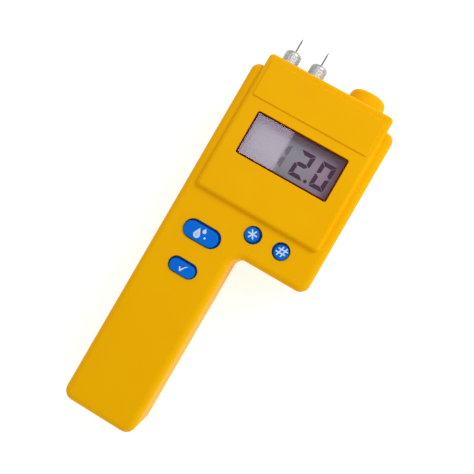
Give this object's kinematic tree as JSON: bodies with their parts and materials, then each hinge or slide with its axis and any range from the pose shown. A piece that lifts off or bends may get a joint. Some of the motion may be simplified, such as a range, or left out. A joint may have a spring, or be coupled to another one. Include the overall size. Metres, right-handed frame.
{
  "type": "pin moisture meter",
  "caption": "Pistol-grip moisture meter: yellow two-shell case, blue push buttons, liquid-crystal display, two contact pins in knurled retainers and a shrouded electrode jack.",
  "frame": {"origin": "centre of the bounding box at the back face, on the surface that the meter lies on", "axes": "+Y along the handle towards the pins, +Z out of the face, +X to the right seen from the front"},
  "size_m": [0.085, 0.233, 0.042],
  "materials": {
    "case_yellow": "satin moulded ABS, warm yellow, very fine texture",
    "button_blue": "smooth semi-gloss blue moulding with a pale printed symbol",
    "window_clear": "clear polished acrylic",
    "bezel_brown": "dark brown printed border",
    "lcd_panel": "reflective grey-lavender liquid-crystal panel with dark digits",
    "black_plastic": "plain black moulding",
    "black_rubber": "black elastomer",
    "red_insulation": "red wire insulation",
    "white_insulation": "white wire insulation",
    "white_plastic": "white insulating plastic",
    "circuit_board": "green solder mask over glass-fibre board",
    "battery_jacket": "printed steel jacket in plain dark grey, steel studs",
    "nickel_plate": "bright nickel plate, knurled on the retainers",
    "pin_steel": "hardened steel needle",
    "screw_steel": "zinc-plated steel",
    "brass": "turned brass"
  },
  "bodies": {
    "case": {"front_case": "case_yellow", "rear_case": "case_yellow", "connector_shroud": "case_yellow", "display_window": "window_clear", "lcd_bezel": "bezel_brown", "lcd_glass": "lcd_panel", "lcd_holder": "black_plastic", "processor_chip": "black_plastic", "amplifier_chip": "black_plastic", "drops_switch": "black_plastic", "check_switch": "black_plastic", "star_switch": "black_plastic", "hash_switch": "black_plastic", "battery_snap": "black_plastic", "zebra_strip_upper": "black_rubber", "zebra_strip_lower": "black_rubber", "battery_lead_black": "black_rubber", "pin_lead_right": "black_rubber", "connector_lead": "black_rubber", "battery_lead_red": "red_insulation", "pin_lead_left": "white_insulation", "electrode_block": "white_plastic", "connector_insulator": "white_plastic", "main_board": "circuit_board", "battery": "battery_jacket", "connector_shell": "nickel_plate", "connector_nut": "nickel_plate", "clock_crystal": "nickel_plate", "case_screw_1": "screw_steel", "case_screw_2": "screw_steel", "case_screw_3": "screw_steel", "case_screw_4": "screw_steel", "case_screw_5": "screw_steel", "board_screw_1": "screw_steel", "board_screw_2": "screw_steel", "board_screw_3": "screw_steel", "board_screw_4": "screw_steel", "pin_post_left": "brass", "pin_post_right": "brass", "connector_contact": "brass"},
    "battery_door": {"battery_door": "case_yellow"},
    "drops_button": {"drops_button": "button_blue", "drops_switch_plunger": "white_plastic"},
    "check_button": {"check_button": "button_blue", "check_switch_plunger": "white_plastic"},
    "star_button": {"star_button": "button_blue", "star_switch_plunger": "white_plastic"},
    "hash_button": {"hash_button": "button_blue", "hash_switch_plunger": "white_plastic"},
    "contact_pin_left": {"contact_pin_left": "pin_steel"},
    "contact_pin_right": {"contact_pin_right": "pin_steel"},
    "pin_retainer_left": {"pin_retainer_left": "nickel_plate"},
    "pin_retainer_right": {"pin_retainer_right": "nickel_plate"}
  },
  "joints": [
    {"name": "drops_press", "type": "slide", "parent": "case", "child": "drops_button", "axis": [0, 0, -1], "range_m": [0, 0.0008], "stiffness_N_per_m": 1500},
    {"name": "check_press", "type": "slide", "parent": "case", "child": "check_button", "axis": [0, 0, -1], "range_m": [0, 0.0008], "stiffness_N_per_m": 1500},
    {"name": "star_press", "type": "slide", "parent": "case", "child": "star_button", "axis": [0, 0, -1], "range_m": [0, 0.0008], "stiffness_N_per_m": 1500},
    {"name": "hash_press", "type": "slide", "parent": "case", "child": "hash_button", "axis": [0, 0, -1], "range_m": [0, 0.0008], "stiffness_N_per_m": 1500},
    {"name": "battery_door_slide", "type": "slide", "parent": "case", "child": "battery_door", "axis": [0, -1, 0], "range_m": [0, 0.055]},
    {"name": "pin_lift_left", "type": "slide", "parent": "case", "child": "contact_pin_left", "axis": [0, 1, 0], "range_m": [0, 0.004]},
    {"name": "retainer_turn_left", "type": "hinge", "parent": "contact_pin_left", "child": "pin_retainer_left", "pos_m": [-0.0284, 0.1015, 0.02], "axis": [0, 1, 0], "range_deg": [0, 1800]},
    {"name": "pin_lift_right", "type": "slide", "parent": "case", "child": "contact_pin_right", "axis": [0, 1, 0], "range_m": [0, 0.004]},
    {"name": "retainer_turn_right", "type": "hinge", "parent": "contact_pin_right", "child": "pin_retainer_right", "pos_m": [-0.0122, 0.1015, 0.02], "axis": [0, 1, 0], "range_deg": [0, 1800]}
  ],
  "couplings": [
    {"joint": "retainer_turn_left", "follows": "pin_lift_left", "rad_per_m": 7853.9},
    {"joint": "retainer_turn_right", "follows": "pin_lift_right", "rad_per_m": 7853.9}
  ]
}
